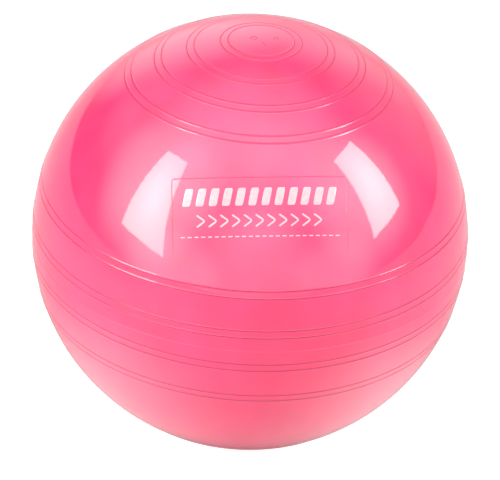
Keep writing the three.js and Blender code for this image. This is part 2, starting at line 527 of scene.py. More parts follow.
@dataclass(frozen=True)
class SoftVinyl(Finish):
    """Tinted soft vinyl: clear gloss over a milky body, with flow marks and a slight unevenness.

    The body's colour goes over to the deep one in clouds and flow marks, and to the shade colour where the
    mesh
    holds painted shade: a dark line painted along each rib's crest, where the gloss also falls to its dulled
    share.
    """

    name: str
    body: Colour
    deep: Colour
    shade_colour: Colour
    gloss: float = 1.0
    dulled_share: float = 0.15
    haze: float = 0.45
    glow: float = 0.25
    glow_depth: float = 12 * MILLIMETRE
    flow_weight: float = 0.5
    flow_range: tuple[float, float] = (0.55, 0.95)
    ripple_strength: float = 0.25
    ripple_height: float = 1.2 * MILLIMETRE
    peel_strength: float = 0.06
    peel_height: float = 0.2 * MILLIMETRE

    def flow_marks(self, nodes: Nodes) -> bpy.types.Node:
        """Lay the flow marks: clouds plus upright streaks times their weight, over the flow range.

        Args:
            nodes: the material's nodes.

        Returns:
            The node whose result is the share of the deep colour.
        """
        streaks = nodes.noise(scale=26.0, detail=4.0, stretch=(1.0, 1.0, 0.12))
        blend = nodes.add("ShaderNodeMath", {1: self.flow_weight}, operation="MULTIPLY_ADD")
        nodes.join(streaks, "Fac", blend, 0)
        nodes.join(nodes.noise(scale=5.0, detail=3.0), "Fac", blend, 2)
        low, high = self.flow_range
        share = nodes.add("ShaderNodeMapRange", {"From Min": low, "From Max": high})
        nodes.join(blend, "Value", share, "Value")
        return share

    def lay(self, nodes: Nodes) -> None:
        """Lay out the nodes: flow marks and the ribs' painted shade in the colour, orange peel and ripple in
        the surface.

        Args:
            nodes: the material's nodes.
        """
        gloss = {
            "Roughness": self.haze,
            "IOR": 1.5,
            "Coat Weight": self.gloss,
            "Coat Roughness": 0.045,
            "Coat IOR": 1.6,
            "Subsurface Weight": self.glow,
            "Subsurface Radius": (1.0, 0.35, 0.45),
            "Subsurface Scale": self.glow_depth,
        }
        shader = nodes.add("ShaderNodeBsdfPrincipled", gloss)
        # Painted shade: where the mesh holds it, the colour darkens to the shade colour and the coat dulls,
        # drawing the ribs' dark lines.
        shade_share = nodes.add("ShaderNodeAttribute", attribute_name=PAINTED_SHADE_ATTRIBUTE)
        clouded = nodes.mix(self.flow_marks(nodes), "Result", self.body, self.deep)
        shade_mixed = nodes.mix(shade_share, "Fac", self.body, self.shade_colour)
        nodes.join(clouded, MIXED_COLOUR, shade_mixed, FIRST_COLOUR)
        nodes.join(shade_mixed, MIXED_COLOUR, shader, "Base Color")
        limits = {"To Min": self.gloss, "To Max": self.dulled_share * self.gloss}
        dulled = nodes.add("ShaderNodeMapRange", limits)
        nodes.join(shade_share, "Fac", dulled, "Value")
        nodes.join(dulled, "Result", shader, "Coat Weight")
        peel = nodes.bump(nodes.noise(scale=420.0, detail=2.0), self.peel_strength, self.peel_height)
        wave = nodes.bump(nodes.noise(scale=11.0, detail=1.0), self.ripple_strength, self.ripple_height)
        nodes.join(wave, "Normal", peel, "Normal")
        nodes.join(peel, "Normal", shader, "Normal")
        nodes.join(peel, "Normal", shader, "Coat Normal")
        nodes.finish(shader)


@dataclass(frozen=True)
class HardPlastic(Finish):
    """Moulded white plastic with a fine grain and a slightly uneven gloss."""

    name: str
    colour: Colour
    darker_share: float = 0.93
    roughness: float = 0.32
    unevenness: float = 0.06
    grain_strength: float = 0.12
    grain_height: float = 0.1 * MILLIMETRE

    def lay(self, nodes: Nodes) -> None:
        """Lay out the nodes: a faint mottle, an uneven roughness and a moulded grain.

        Args:
            nodes: the material's nodes.
        """
        body = {
            "IOR": 1.49,
            "Subsurface Weight": 0.2,
            "Subsurface Radius": (1.0, 0.9, 0.8),
            "Subsurface Scale": 1.5 * MILLIMETRE,
        }
        shader = nodes.add("ShaderNodeBsdfPrincipled", body)
        mottle = nodes.ranged(nodes.noise(scale=160.0, detail=3.0), 0.0, 1.0)
        darker = tuple(self.darker_share * part for part in self.colour)
        colour = nodes.mix(mottle, "Result", self.colour, darker)
        nodes.join(colour, MIXED_COLOUR, shader, "Base Color")
        smooth, rough = self.roughness - self.unevenness, self.roughness + self.unevenness
        uneven = nodes.ranged(nodes.noise(scale=90.0, detail=2.0), smooth, rough)
        nodes.join(uneven, "Result", shader, "Roughness")
        grain = nodes.bump(nodes.noise(scale=2600.0, detail=2.0), self.grain_strength, self.grain_height)
        nodes.join(grain, "Normal", shader, "Normal")
        nodes.finish(shader)


@dataclass(frozen=True)
class PrintInk(Finish):
    """White printing ink that the vinyl's colour shows through a little."""

    name: str
    ink: Colour
    thin: Colour
    grain_strength: float = 0.1
    grain_height: float = 0.1 * MILLIMETRE

    def lay(self, nodes: Nodes) -> None:
        """Lay out the nodes: thinner and thicker ink in fine patches, under a gloss like the ball's.

        Args:
            nodes: the material's nodes.
        """
        gloss = {"Roughness": 0.3, "IOR": 1.5, "Coat Weight": 1.0, "Coat Roughness": 0.06}
        shader = nodes.add("ShaderNodeBsdfPrincipled", gloss)
        patches = nodes.ranged(nodes.noise(scale=240.0, detail=4.0), 0.0, 1.0)
        colour = nodes.mix(patches, "Result", self.ink, self.thin)
        nodes.join(colour, MIXED_COLOUR, shader, "Base Color")
        grain = nodes.bump(nodes.noise(scale=900.0, detail=2.0), self.grain_strength, self.grain_height)
        nodes.join(grain, "Normal", shader, "Normal")
        nodes.finish(shader)


@dataclass(frozen=True)
class WhiteSheet(Finish):
    """A grey matt sheet with a lit patch left and right, which comes out white as an overexposed one does."""

    name: str
    colour: Colour
    patch_glow: float
    overexposure: float
    patch_middle: tuple[float, float, float] = (0.3, -0.2, 0.0)
    patch_reach: float = 0.32
    darker_share: float = 0.985

    def lay(self, nodes: Nodes) -> None:
        """Lay out the nodes: a barely uneven tone, two patches of glow and a glow that only direct rays see.

        The sheet can't be seen from below, so that the underside of what stands on it can. A patch glows by
        patch_glow times a smooth step of the distance between (|x|, y, 0) and its middle, from its reach
        inwards.

        Args:
            nodes: the material's nodes.
        """
        shader = nodes.add("ShaderNodeBsdfPrincipled", {"Roughness": 0.9, "Emission Color": WHITE})
        tone = nodes.ranged(nodes.noise(scale=3.0, detail=2.0), 0.0, 1.0)
        darker = tuple(self.darker_share * part for part in self.colour)
        colour = nodes.mix(tone, "Result", self.colour, darker)
        nodes.join(colour, MIXED_COLOUR, shader, "Base Color")
        place = nodes.add("ShaderNodeSeparateXYZ")
        nodes.join(nodes.add("ShaderNodeTexCoord"), "Object", place, "Vector")
        aside = nodes.add("ShaderNodeMath", operation="ABSOLUTE")
        nodes.join(place, "X", aside, 0)
        spot = nodes.add("ShaderNodeCombineXYZ")
        nodes.join(aside, "Value", spot, "X")
        nodes.join(place, "Y", spot, "Y")
        distance = nodes.add("ShaderNodeVectorMath", {1: self.patch_middle}, operation="DISTANCE")
        nodes.join(spot, "Vector", distance, 0)
        limits = {"From Min": self.patch_reach, "From Max": 0.0, "To Max": self.patch_glow}
        growth = nodes.add("ShaderNodeMapRange", limits, interpolation_type="SMOOTHSTEP")
        nodes.join(distance, "Value", growth, "Value")
        glow = nodes.add("ShaderNodeMath", {1: self.overexposure}, operation="MULTIPLY_ADD")
        nodes.join(nodes.add("ShaderNodeLightPath"), "Is Camera Ray", glow, 0)
        nodes.join(growth, "Result", glow, 2)
        nodes.join(glow, "Value", shader, "Emission Strength")
        from_below = nodes.add("ShaderNodeMixShader")
        nodes.join(nodes.add("ShaderNodeNewGeometry"), "Backfacing", from_below, "Fac")
        nodes.join(shader, "BSDF", from_below, 1)
        nodes.join(nodes.add("ShaderNodeBsdfTransparent"), "BSDF", from_below, 2)
        nodes.join(from_below, "Shader", nodes.add("ShaderNodeOutputMaterial"), "Surface")


# ---------------------------------------------------------------------------------------------------------
# The valve
# ---------------------------------------------------------------------------------------------------------


@dataclass(frozen=True)
class ValveSizes:
    """The sizes that the skin's opening, the seat and the plug share, in metres."""

    head_overhang: float = 1.2 * MILLIMETRE
    head_thickness: float = 2.4 * MILLIMETRE
    head_sink: float = 1.0 * MILLIMETRE
    head_rim: float = 3.5 * MILLIMETRE
    head_dish: float = 0.7 * MILLIMETRE
    finger_gap: float = 2.0 * MILLIMETRE
    stem_length: float = 26 * MILLIMETRE
    stem_radius: float = 5.0 * MILLIMETRE
    stem_taper: float = 0.8 * MILLIMETRE
    barb_count: int = 3
    barb_height: float = 0.5 * MILLIMETRE
    barb_length: float = 3.6 * MILLIMETRE
    core_radius: float = 2.0 * MILLIMETRE
    core_end: float = 6.0 * MILLIMETRE
    seat_wall: float = 2.7 * MILLIMETRE
    flange_thickness: float = 2.4 * MILLIMETRE
    flange_inset: float = 4.0 * MILLIMETRE
    seat_tail: float = 11.0 * MILLIMETRE
    pad_margin: float = 12.5 * MILLIMETRE
    pad_taper: float = 2.5 * MILLIMETRE
    pad_floor: float = 3.0 * MILLIMETRE
    plug_clearance: float = 0.3 * MILLIMETRE
    bond_gap: float = 0.3 * MILLIMETRE

    @property
    def head_under(self) -> float:
        """Depth of the head's underside."""
        return self.head_sink + self.head_thickness

    @property
    def recess_depth(self) -> float:
        """Depth of the recess's floor."""
        return self.head_under + self.plug_clearance

    @property
    def bore_radius(self) -> float:
        """Radius of the seat's bore next to the head."""
        return self.stem_radius + self.barb_height + self.plug_clearance

    @property
    def neck_radius(self) -> float:
        """Outer radius of the seat's neck."""
        return self.bore_radius + self.seat_wall

    @property
    def hole_radius(self) -> float:
        """Radius of the hole in the skin's pad."""
        return self.neck_radius + self.bond_gap

    @property
    def head_radius(self) -> float:
        """Radius of the plug's head."""
        return self.hole_radius + self.head_overhang

    @property
    def recess_radius(self) -> float:
        """Radius of the recess round the head."""
        return self.head_radius + self.finger_gap

    @property
    def pad_radius(self) -> float:
        """Radius of the pad's inner face."""
        return self.recess_radius + self.pad_margin

    @property
    def pad_depth(self) -> float:
        """Depth of the pad's inner face."""
        return self.recess_depth + self.pad_floor

    def narrowed(self, radius: float, depth: float) -> float:
        """A radius next to the head, less the taper per length times the depth below the head."""
        return radius - self.stem_taper / self.stem_length * (depth - self.head_under)


@dataclass
class ValveSeat:
    """The soft bush bonded into the skin: a neck, a flange under the pad and a tail round the stem."""

    axis: Axis
    sizes: ValveSizes
    segments: int = 96

    def profile(self) -> Array:
        """Draw the bush's section, from the inner end of its bore.

        Returns:
            The closed outline as (radius, depth) rows.
        """
        s = self.sizes
        flange_top = s.pad_depth + s.bond_gap
        flange_under = flange_top + s.flange_thickness
        end = flange_under + s.seat_tail
        flange_radius = s.pad_radius - s.flange_inset
        bore_end = s.narrowed(s.bore_radius, end)
        corners = [
            (bore_end, end, 0.4 * MILLIMETRE),
            (bore_end + s.seat_wall, end, 0.8 * MILLIMETRE),
            (s.neck_radius, flange_under, 1.2 * MILLIMETRE),
            (flange_radius, flange_under, 0.8 * MILLIMETRE),
            (flange_radius, flange_top, 0.4 * MILLIMETRE),
            (s.neck_radius, flange_top, 0.3 * MILLIMETRE),
            (s.neck_radius, s.recess_depth, 0.25 * MILLIMETRE),
            (s.narrowed(s.bore_radius, s.recess_depth), s.recess_depth, 0.6 * MILLIMETRE),
        ]
        return rounded(corners, steps=5, closed=True)

    def build(self, material: bpy.types.Material) -> bpy.types.Object:
        """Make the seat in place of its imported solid.

        Args:
            material: what it is made of.

        Returns:
            The seat.
        """
        piece = turned(self.axis, self.profile(), self.segments).to_object("bonded_valve_seat", material)
        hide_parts("valve_seat")
        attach(piece, "ball")
        return piece


@dataclass
class ValvePlug:
    """The push-in plug: a dished head on a hollow tapered stem with sealing rings."""

    axis: Axis
    sizes: ValveSizes
    dish_slope: float = 1.2 * MILLIMETRE
    gate_radius: float = 1.0 * MILLIMETRE
    gate_slope: float = 0.2 * MILLIMETRE
    gate_share: float = 0.75
    segments: int = 96

    def stem(self) -> list[tuple[float, float, float]]:
        """Draw the stem's outside, from its tip up to the head.

        A sealing ring stands out square at its shoulder and slopes back to the tapering stem at its foot.

        Returns:
            The (radius, depth, rounding) of each corner.
        """
        s = self.sizes
        pitch = s.stem_length / s.barb_count
        corners = []
        for number in reversed(range(s.barb_count)):
            shoulder = s.head_under + (number + 0.5) * pitch
            foot = shoulder + s.barb_length
            corners.append((s.narrowed(s.stem_radius, foot), foot, 0.5 * MILLIMETRE))
            corners.append((s.narrowed(s.stem_radius, shoulder) + s.barb_height, shoulder, 0.25 * MILLIMETRE))
            corners.append((s.narrowed(s.stem_radius, shoulder), shoulder, 0.15 * MILLIMETRE))
        return corners

    def profile(self) -> Array:
        """Draw the plug's section, from the end of its hollow core round to the middle of its head.

        The head's dish has a shallower round mark in its middle, where the plastic ran into the mould.

        Returns:
            The profile as (radius, depth) rows.
        """
        s = self.sizes
        core_top = s.head_under + s.core_end
        tip = s.head_under + s.stem_length
        dish_radius = s.head_radius - s.head_rim
        dish_depth = s.head_sink + s.head_dish
        gate_depth = s.head_sink + self.gate_share * s.head_dish
        corners = [
            (0.0, core_top, 0.0),
            (s.core_radius, core_top, 0.5 * MILLIMETRE),
            (s.core_radius, tip, 0.3 * MILLIMETRE),
            (s.narrowed(s.stem_radius, tip), tip, 0.7 * MILLIMETRE),
            *self.stem(),
            (s.stem_radius, s.head_under, 0.4 * MILLIMETRE),
            (s.head_radius, s.head_under, 0.5 * MILLIMETRE),
            (s.head_radius, s.head_sink, 0.8 * MILLIMETRE),
            (dish_radius, s.head_sink, 0.8 * MILLIMETRE),
            (dish_radius - self.dish_slope, dish_depth, 0.8 * MILLIMETRE),
            (self.gate_radius + self.gate_slope / 2, dish_depth, 0.2 * MILLIMETRE),
            (self.gate_radius - self.gate_slope / 2, gate_depth, 0.2 * MILLIMETRE),
            (0.0, gate_depth, 0.0),
        ]
        return rounded(corners, steps=5)

    def build(self, material: bpy.types.Material) -> bpy.types.Object:
        """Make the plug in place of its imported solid.

        Args:
            material: what it is made of.

        Returns:
            The plug.
        """
        piece = turned(self.axis, self.profile(), self.segments).to_object("push_in_plug", material)
        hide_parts("valve_plug")
        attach(piece, "plug")
        return piece


# ---------------------------------------------------------------------------------------------------------
# The skin
# ---------------------------------------------------------------------------------------------------------


@dataclass(frozen=True)
class Ridge:
    """A ridge round the ball: the arc from the bottom pole to its crest, its height and its width."""

    arc: float
    height: float
    width: float


@dataclass
class RibbedSkin:
    """The one-piece skin: ribs and parting line, the valve's recess, hole and pad, and the inner wall."""

    ball: Ball
    axis: Axis
    valve: ValveSizes
    wall: float = 1.0 * MILLIMETRE
    rib_height: float = 0.4 * MILLIMETRE
    rib_width: float = 3.2 * MILLIMETRE
    rib_spacing: float = 8.6 * MILLIMETRE
    cap_pairs: int = 4
    cap_first_pair: float = 41.5 * MILLIMETRE
    cap_pitch: float = 38.1 * MILLIMETRE
    belt_pairs: int = 2
    belt_first_pair: float = 21.3 * MILLIMETRE
    belt_pitch: float = 45.9 * MILLIMETRE
    parting_height: float = 0.2 * MILLIMETRE
    parting_width: float = 1.2 * MILLIMETRE
    columns: int = 240
    ridge_steps: int = 6
    ridge_guard: float = 0.3 * MILLIMETRE
    plain_step: float = 9.0 * MILLIMETRE
    inner_step: float = 22.0 * MILLIMETRE
    window_latitude: float = 34.0
    window_height: float = 20.0
    window_rows: int = 16
    window_columns: int = 16
    opening_rim: float = 0.9 * MILLIMETRE
    outer_rings: int = 10
    inner_rings: int = 6
    ring_power: float = 1.3

    def ridges(self) -> list[Ridge]:
        """List the ridges: pairs of ribs round both caps and both belts, and the parting line between.

        A cap's pairs are measured from its pole and a belt's from the parting line.

        Returns:
            Every ridge, from the bottom pole to the top one.
        """
        length = math.pi * self.ball.radius
        caps = [self.cap_first_pair + n * self.cap_pitch for n in range(self.cap_pairs)]
        belts = [self.belt_first_pair + n * self.belt_pitch for n in range(self.belt_pairs)]
        middles = caps + [length - arc for arc in caps]
        middles += [length / 2 - arc for arc in belts] + [length / 2 + arc for arc in belts]
        half = self.rib_spacing / 2
        ribs = [Ridge(m + side * half, self.rib_height, self.rib_width) for m in middles for side in (-1, 1)]
        parting = Ridge(length / 2, self.parting_height, self.parting_width)
        return sorted([*ribs, parting], key=lambda ridge: ridge.arc)

    def ridge_rows(self, ridge: Ridge) -> tuple[Array, Array]:
        """The arcs and heights of the rows over a ridge and of the plain row on each side of it.

        At the distance s from its crest the ridge stands height times (1 + cos(2 pi s / width)) / 2 high.

        Args:
            ridge: the ridge.

        Returns:
            The arc and the height of each row.
        """
        across = np.linspace(-0.5, 0.5, self.ridge_steps + 1)
        heights = ridge.height * (1 + np.cos(2 * np.pi * across)) / 2
        arcs = ridge.arc + across * ridge.width
        guard = self.ridge_guard
        return np.array([arcs[0] - guard, *arcs, arcs[-1] + guard]), np.array([0.0, *heights, 0.0])

    def window_arcs(self) -> Array:
        """Space the rows across the window that the valve's opening fills.

        Returns:
            The arc from the bottom pole of each row, at equal steps of latitude.
        """
        low = self.window_latitude - self.window_height / 2 + 90.0
        latitudes = np.linspace(low, low + self.window_height, self.window_rows + 1)
        return np.radians(latitudes) * self.ball.radius

    def rows(self, with_ridges: bool, step: float) -> tuple[Array, Array, int]:
        """The rows of the skin's grid from the bottom pole to the top one.

        Args:
            with_ridges: whether the rows go over the ribs and the parting line.
            step: the longest distance between plain rows.

        Returns:
            The arc from the bottom pole and the height above the plain skin of each row, and the number of
            the window's first row.
        """
        window = self.window_arcs()
        features = [(window, np.zeros_like(window))]
        if with_ridges:
            features += [self.ridge_rows(ridge) for ridge in self.ridges()]
        features.sort(key=lambda feature: feature[0][0])
        pole = np.array([math.pi * self.ball.radius])
        arcs = [np.zeros(1)]
        lifts = [np.zeros(1)]
        first_of_window = 0
        for feature_arcs, feature_lifts in [*features, (pole, np.zeros(1))]:
            reached = arcs[-1][-1]
            gaps = math.ceil((feature_arcs[0] - reached) / step)
            plain = np.linspace(reached, feature_arcs[0], gaps + 1)[1:-1]
            arcs.append(plain)
            lifts.append(np.zeros_like(plain))
            if feature_arcs is window:
                first_of_window = sum(len(part) for part in arcs)
            arcs.append(feature_arcs)
            lifts.append(feature_lifts)
        return np.concatenate(arcs), np.concatenate(lifts), first_of_window

    def window_span(self) -> slice:
        """The columns that the window takes: as many on each side of the back."""
        middle = self.columns // 2
        return slice(middle - self.window_columns // 2, middle + self.window_columns // 2)

    def wall_grid(self, surface: Surface, arcs: Array, lifts: Array, first_of_window: int) -> Array:
        """Add one face of the wall all round the ball but for the valve's window.

        Painted shade lies in the upper half of a rib: its share is max(0, 2 height / rib height - 1).

        Args:
            surface: the surface that it is added to.
            arcs: the arc of each row from the bottom pole.
            lifts: the height of each row above the plain skin.
            first_of_window: the number of the window's first row.

        Returns:
            The directions of the points round the window, in turn, from its lower left corner.
        """
        latitudes = np.degrees(arcs / self.ball.radius) - 90.0
        longitudes = np.arange(self.columns) * 360.0 / self.columns
        towards = direction(latitudes[:, None], longitudes[None, :])
        points = self.ball.place(towards, np.broadcast_to(lifts[:, None], towards.shape[:2]))
        quads = grid_quads(len(arcs), self.columns, closed=True).reshape(len(arcs) - 1, self.columns, 4)
        span = self.window_span()
        last = first_of_window + self.window_rows
        keep = np.ones(quads.shape[:2], dtype=bool)
        keep[first_of_window:last, span] = False
        surface.add(points, quads[keep], np.clip(2 * lifts / self.rib_height - 1, 0.0, 1.0)[:, None])
        left, right = span.start, span.stop
        return np.concatenate(
            [
                towards[first_of_window, left:right],
                towards[first_of_window:last, right],
                towards[last, right:left:-1],
                towards[last:first_of_window:-1, left],
            ]
        )

    def opening_grid(self, border: Array, radius: float, lift: float, rings: int) -> Array:
        """The rings of points between the valve's opening and the window's border.

        A border point at the arc s and the angle b round the valve's axis is led to the circle at the arc c
        and the angle e of its place among equal steps: at the share t its arc is c + t (s - c) and its angle
        e + t (b - e). The shares are equal steps raised to the ring power, so that the rings are closer
        together at the circle.

        Args:
            border: the directions of the points round the window.
            radius: the radius of the circle that the rings end at.
            lift: height above the plain skin.
            rings: how many steps there are from the circle to the border.

        Returns:
            An array of shape (rings + 1, border points, 3), from the circle to the border.
        """
        arc = np.arccos(border @ self.axis.along) * self.ball.radius
        angle = self.axis.angles_of(border)
        even = self.even_angles(angle)
        share = np.linspace(0.0, 1.0, rings + 1)[:, None] ** self.ring_power
        circle = math.asin(radius / (self.ball.radius + lift)) * self.ball.radius
        arcs = circle + share * (arc - circle)
        return self.ball.place(self.axis.ring(arcs, even + share * (angle - even)), lift)

    @staticmethod
    def even_angles(angle: Array) -> Array:
        """Space angles equally round the circle, as near the given ones as can be.

        Args:
            angle: the given angles in radians, which run once round the circle in either direction.

        Returns:
            As many angles, the same way round, with the same mean.
        """
        turn = np.sign(angle[-1] - angle[0])
        steps = turn * 2 * np.pi * np.arange(len(angle)) / len(angle)
        return steps + np.mean(angle - steps)

    def opening_profile(self) -> Array:
        """Draw the section of the valve's opening.

        Returns:
            The (radius, depth) rows from the skin's outer face, over recess and hole, to its inner face.
        """
        v = self.valve
        rim = v.recess_radius + self.opening_rim
        inside = v.pad_radius + v.pad_taper
        corners = [
            (rim, self.axis.depth_at(rim), 0.0),
            (v.recess_radius, self.axis.depth_at(v.recess_radius), 0.85 * MILLIMETRE),
            (v.recess_radius, v.recess_depth, 0.8 * MILLIMETRE),
            (v.hole_radius, v.recess_depth, 0.25 * MILLIMETRE),
            (v.hole_radius, v.pad_depth, 0.25 * MILLIMETRE),
            (v.pad_radius, v.pad_depth, 1.5 * MILLIMETRE),
            (inside, self.axis.depth_at(inside, self.wall), 0.0),
        ]
        return rounded(corners, steps=5)

    def build(self, material: bpy.types.Material) -> bpy.types.Object:
        """Make the skin, as one closed surface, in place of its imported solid.

        Args:
            material: what it is made of.

        Returns:
            The skin.
        """
        surface = Surface()
        border = self.wall_grid(surface, *self.rows(with_ridges=True, step=self.plain_step))
        profile = self.opening_profile()
        outer_rings = self.opening_grid(border, profile[0, 0], 0.0, self.outer_rings)
        surface.add_grid(outer_rings[::-1], closed=True)
        angles = self.even_angles(self.axis.angles_of(border))
        surface.add_grid(self.axis.spun(profile, angles), closed=True)
        inner_arcs, _, inner_window = self.rows(with_ridges=False, step=self.inner_step)
        inner = Surface()
        self.wall_grid(inner, inner_arcs, np.full_like(inner_arcs, -self.wall), inner_window)
        inner_points, inner_quads, _ = inner.welded()
        surface.add(inner_points, inner_quads[:, ::-1])
        inner_rings = self.opening_grid(border, profile[-1, 0], -self.wall, self.inner_rings)
        surface.add_grid(inner_rings, closed=True)
        piece = surface.to_object("ribbed_vinyl_skin", material, sharp_degrees=60.0)
        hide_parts("ball_skin")
        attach(piece, "ball")
        return piece


# ---------------------------------------------------------------------------------------------------------
# The printed panel and the small moulded lines
# ---------------------------------------------------------------------------------------------------------


@dataclass(frozen=True)
class Panel:
    """A flat drawing board that touches the ball at its middle; its drawing is pushed straight on to it."""

    ball: Ball
    latitude: float
    longitude: float = 0.0
    tilt: float = 0.0

    def on_ball(self, flat: Array, lift: Array | float = 0.0) -> Array:
        """Put points of the board on the ball.

        A point (x, y) of the board has the direction x/R east + y/R north + sqrt(1 - (x^2 + y^2)/R^2) out,
        where east and north are the board's own, turned by its tilt.

        Args:
            flat: points on the board, in an array that ends in x, y.
            lift: height above the plain skin.

        Returns:
            The points on the ball, in an array that ends in x, y, z.
        """
        out = direction(self.latitude, self.longitude)
        level = direction(0.0, self.longitude + 90.0)
        rise = np.cross(out, level)
        turn = math.radians(self.tilt)
        east = math.cos(turn) * level + math.sin(turn) * rise
        north = math.cos(turn) * rise - math.sin(turn) * level
        x, y = flat[..., 0, None] / self.ball.radius, flat[..., 1, None] / self.ball.radius
        towards = x * east + y * north + np.sqrt(1 - x**2 - y**2) * out
        return self.ball.place(towards, np.broadcast_to(lift, towards.shape[:-1]))


class Shape(Enum):
    """The plain shapes that the print is made of."""

    BAR = "a slanted bar with rounded corners"
    CHEVRON = "a thin arrow head"
    DASH = "a short dash with round ends"


@dataclass(frozen=True)
class PrintRow:
    """A row of one shape: where it is on the panel, how many shapes it has, and their sizes in metres."""

    shape: Shape
    count: int
    middle: float
    half_width: float
    length: float
    height: float = 0.0
    stroke: float = 0.0

    def places(self) -> Array:
        """The middles of the shapes along the row, equally far apart."""
        reach = self.half_width - self.length / 2
        return np.linspace(-reach, reach, self.count)


@dataclass
class FrontPrint:
    """The white print on the front: generic shapes in three rows, as thin films of ink on the skin."""

    panel: Panel
    rows: tuple[PrintRow, ...] = (
        PrintRow(
            Shape.BAR,
            count=12,
            middle=29.8 * MILLIMETRE,
            half_width=81 * MILLIMETRE,
            length=8.6 * MILLIMETRE,
            height=19 * MILLIMETRE,
        ),
        PrintRow(
            Shape.CHEVRON,
            count=11,
            middle=4.3 * MILLIMETRE,
            half_width=67 * MILLIMETRE,
            length=9 * MILLIMETRE,
            height=13.6 * MILLIMETRE,
            stroke=1.9 * MILLIMETRE,
        ),
        PrintRow(
            Shape.DASH,
            count=24,
            middle=-12.6 * MILLIMETRE,
            half_width=85 * MILLIMETRE,
            length=4.6 * MILLIMETRE,
            stroke=1.3 * MILLIMETRE,
        ),
    )
    film: float = 0.06 * MILLIMETRE
    sunk: float = 0.12 * MILLIMETRE
    slant: float = 0.22
    corner_power: float = 6.0
    bar_points: int = 56
    arm_points: int = 15
    dash_points: int = 4
    end_steps: int = 8

    def lay_film(
        self, surface: Surface, spine: Array, outline: Array, shares: list[float], heights: list[float]
    ) -> None:
        """Add a film whose outline shrinks on to a spine, ring after ring.

        A ring at the share t of the way from the spine to the outline stands at the share h of the film's
        whole thickness above its underside, which is sunk in the skin.

        Args:
            surface: the surface that it is added to.
            spine: the board point under the film's middle, or one for each point of the outline.
            outline: board points of shape (points, 2), anticlockwise.
            shares: the share t of each ring, from the top's middle, over the edge, to the underside's.
            heights: the share h of each ring.
        """
        lifts = np.array(heights) * (self.film + self.sunk) - self.sunk
        flat = spine + np.array(shares)[:, None, None] * (outline - spine)
        surface.add_grid(self.panel.on_ball(flat, lifts[:, None]), closed=True)

    def strip(self, surface: Surface, path: Array, width: float) -> None:
        """Add a film of one width along a path, with round ends.

        A side is half the width across from the path, and an end is a half circle of that radius.

        Args:
            surface: the surface that it is added to.
            path: board points of shape (points, 2).
            width: the film's width.
        """
        along, across = along_and_across(path)
        across = across * width / 2
        half_turn = np.linspace(0.0, np.pi, self.end_steps + 1)[1:-1, None]
        far_end = path[-1] + np.sin(half_turn) * along[-1] * width / 2 - np.cos(half_turn) * across[-1]
        near_end = path[0] - np.sin(half_turn) * along[0] * width / 2 + np.cos(half_turn) * across[0]
        outline = np.concatenate([path - across, far_end, (path + across)[::-1], near_end])
        far, near = np.full_like(far_end, path[-1]), np.full_like(near_end, path[0])
        spine = np.concatenate([path, far, path[::-1], near])
        self.lay_film(surface, spine, outline, [0.0, 0.8, 1.0, 1.0, 0.0], [1.0, 1.0, 0.5, 0.0, 0.0])

    def bar(self, surface: Surface, row: PrintRow, x: float) -> None:
        """Add a slanted bar: the outline |2u/length|^n + |2v/height|^n = 1, moved right by slant times v.

        Args:
            surface: the surface that it is added to.
            row: the row that it is in.
            x: where its middle is along the row.
        """
        angle = np.linspace(0.0, 2 * np.pi, self.bar_points, endpoint=False)
        power = 2 / self.corner_power
        u = np.sign(np.cos(angle)) * np.abs(np.cos(angle)) ** power * row.length / 2
        v = np.sign(np.sin(angle)) * np.abs(np.sin(angle)) ** power * row.height / 2
        outline = np.stack([x + u + self.slant * v, row.middle + v], axis=1)
        shares = [0.0, 0.35, 0.7, 0.96, 1.0, 1.0, 0.5, 0.0]
        heights = [1.0, 1.0, 1.0, 1.0, 0.6, 0.0, 0.0, 0.0]
        self.lay_film(surface, outline.mean(axis=0), outline, shares, heights)

    def chevron(self, surface: Surface, row: PrintRow, x: float) -> None:
        """Add an arrow head that points right: two straight arms whose meeting is rounded.

        Args:
            surface: the surface that it is added to.
            row: the row that it is in.
            x: where its middle is along the row.
        """
        rise = (row.height - row.stroke) / 2
        corners = [
            (x - row.length / 2, row.middle + rise, 0.0),
            (x + (row.length - row.stroke) / 2, row.middle, row.height / 6),
            (x - row.length / 2, row.middle - rise, 0.0),
        ]
        self.strip(surface, resampled(rounded(corners, steps=6), self.arm_points), row.stroke)

    def dash(self, surface: Surface, row: PrintRow, x: float) -> None:
        """Add a short level dash.

        Args:
            surface: the surface that it is added to.
            row: the row that it is in.
            x: where its middle is along the row.
        """
        reach = (row.length - row.stroke) / 2
        across = np.linspace(-reach, reach, self.dash_points)
        self.strip(surface, np.stack([x + across, np.full_like(across, row.middle)], axis=1), row.stroke)

    def build(self, material: bpy.types.Material) -> bpy.types.Object:
        """Make the whole print as one piece that lies on the skin.

        Args:
            material: the ink.

        Returns:
            The print.
        """
        draw = {Shape.BAR: self.bar, Shape.CHEVRON: self.chevron, Shape.DASH: self.dash}
        surface = Surface()
        for row in self.rows:
            for x in row.places():
                draw[row.shape](surface, row, float(x))
        piece = surface.to_object("front_print", material)
        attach(piece, "ball")
        return piece


